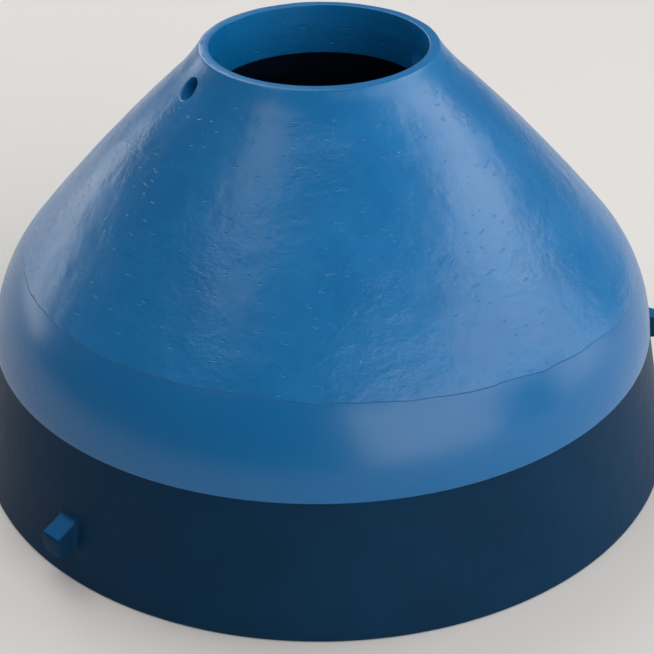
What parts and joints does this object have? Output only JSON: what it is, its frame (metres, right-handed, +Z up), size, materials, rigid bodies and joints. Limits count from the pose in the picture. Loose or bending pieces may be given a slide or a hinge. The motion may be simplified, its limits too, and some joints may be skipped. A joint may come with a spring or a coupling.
{
  "type": "cone crusher mantle",
  "caption": "Cone crusher mantle: one bell-shaped cast steel liner with a thick conical wall, open foot, curved wear belt, narrow neck bore, lifting holes and skirt lugs",
  "frame": {"origin": "on the mantle's axis, in the plane of the foot that it stands on", "axes": "+Z up the axis from the open foot to the neck; +X out of the skirt, four degrees short of the high handling lug; +Y completes the right-handed frame"},
  "size_m": [1.2015, 1.1988, 0.698],
  "materials": {
    "paint": "semi-gloss blue paint over a rough sand casting"
  },
  "bodies": {
    "root": {"mantle": "paint"}
  },
  "joints": []
}
